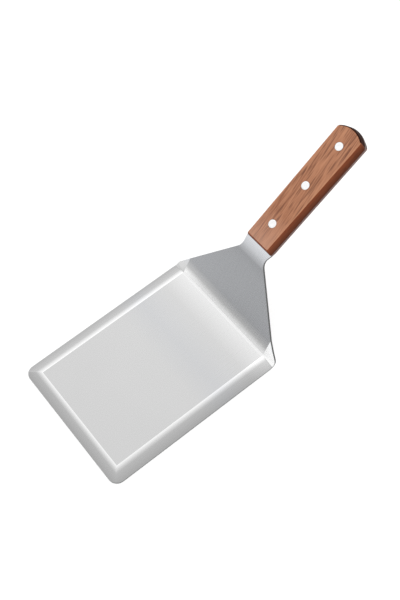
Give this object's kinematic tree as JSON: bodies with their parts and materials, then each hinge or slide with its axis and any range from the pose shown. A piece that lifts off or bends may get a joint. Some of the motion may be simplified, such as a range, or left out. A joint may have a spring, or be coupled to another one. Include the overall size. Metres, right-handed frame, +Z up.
{
  "type": "grill spatula",
  "caption": "Wide steel grill spatula with bevelled edges, a bent-up shoulder and a full tang between riveted wooden scales.",
  "frame": {"origin": "bottom centre of the bounding box, with the blade's rim resting on the ground plane", "axes": "+X from the blade to the handle, +Y across the blade, +Z up"},
  "size_m": [0.2972, 0.1264, 0.1185],
  "materials": {
    "steel": "brushed along the blade, ground bevels",
    "wood": "oiled reddish hardwood, satin",
    "rivet_steel": "heads sanded flush with the wood"
  },
  "bodies": {
    "root": {"blade": "steel", "scale_upper": "wood", "scale_lower": "wood", "rivet_pin_front": "rivet_steel", "rivet_pin_middle": "rivet_steel", "rivet_pin_rear": "rivet_steel", "rivet_tube_front": "rivet_steel", "rivet_tube_middle": "rivet_steel", "rivet_tube_rear": "rivet_steel"}
  },
  "joints": []
}
